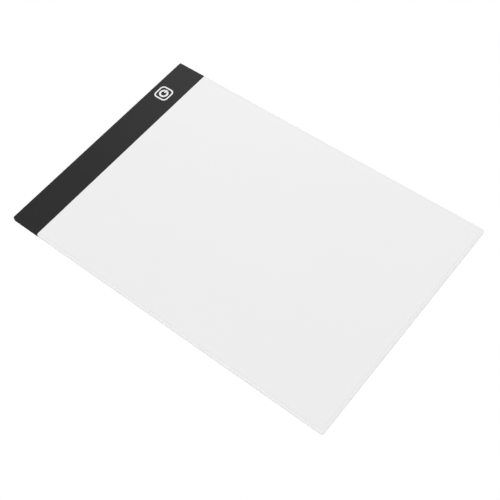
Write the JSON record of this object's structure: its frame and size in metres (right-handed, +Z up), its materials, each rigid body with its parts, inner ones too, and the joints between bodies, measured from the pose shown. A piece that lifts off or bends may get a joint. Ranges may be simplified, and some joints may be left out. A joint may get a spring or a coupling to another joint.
{
  "type": "light box",
  "caption": "Slim edge-lit tracing pad: white tray, opal front panel, black control head with a flat touch key and a USB power inlet, on silicone feet.",
  "frame": {"origin": "centre of the pad's footprint, on the surface that its feet stand on", "axes": "+X along the long side, away from the black control head; +Y across the pad, upwards in the key's symbol; +Z up, out of the front panel"},
  "size_m": [0.33, 0.22, 0.0057],
  "materials": {
    "white_abs": "satin",
    "black_abs": "satin",
    "opal_acrylic": "satin",
    "clear_acrylic": "polished",
    "diffuser_film": "matte",
    "reflector_film": "satin",
    "mounting_tape": "matte",
    "white_tape": "satin",
    "thermal_tape": "matte",
    "board_white": "satin",
    "board_green": "satin",
    "lamp_body": "satin",
    "phosphor": "matte",
    "chip_black": "matte",
    "chip_ceramic": "matte",
    "resistor_black": "satin",
    "tinned_metal": "satin",
    "solder": "gloss",
    "gold_plating": "gloss",
    "steel_shell": "satin",
    "socket_plastic": "matte",
    "sealing_foam": "matte",
    "conductive_foam": "matte",
    "wire_red": "satin",
    "wire_black": "satin",
    "key_ink": "satin",
    "silicone": "satin"
  },
  "bodies": {
    "root": {"back_cover": "white_abs", "head_cover": "black_abs", "front_panel": "opal_acrylic", "diffuser_film": "diffuser_film", "light_guide_plate": "clear_acrylic", "reflector_sheet": "reflector_film", "panel_tape_rear": "mounting_tape", "panel_tape_front": "mounting_tape", "panel_tape_end": "mounting_tape", "edge_tape_rear": "white_tape", "edge_tape_front": "white_tape", "edge_tape_end": "white_tape", "led_bar_board": "board_white", "led_packages": "lamp_body", "led_phosphors": "phosphor", "led_resistors": "resistor_black", "led_bar_tape": "thermal_tape", "light_seal_tape": "white_tape", "light_seal_foam": "sealing_foam", "control_board": "board_green", "touch_electrode": "gold_plating", "touch_foam_pad": "conductive_foam", "touch_controller_chip": "chip_black", "touch_controller_leads": "tinned_metal", "dimmer_mosfet": "chip_black", "mosfet_leads": "tinned_metal", "board_capacitors": "chip_ceramic", "board_resistors": "resistor_black", "usb_shell": "steel_shell", "usb_tongue": "socket_plastic", "usb_contacts": "gold_plating", "lead_positive": "wire_red", "lead_negative": "wire_black", "solder_joints": "solder", "touch_key_symbol": "key_ink", "foot_front_left": "silicone", "foot_front_right": "silicone", "foot_rear_left": "silicone", "foot_rear_right": "silicone", "foot_adhesive_discs": "mounting_tape"}
  },
  "joints": []
}
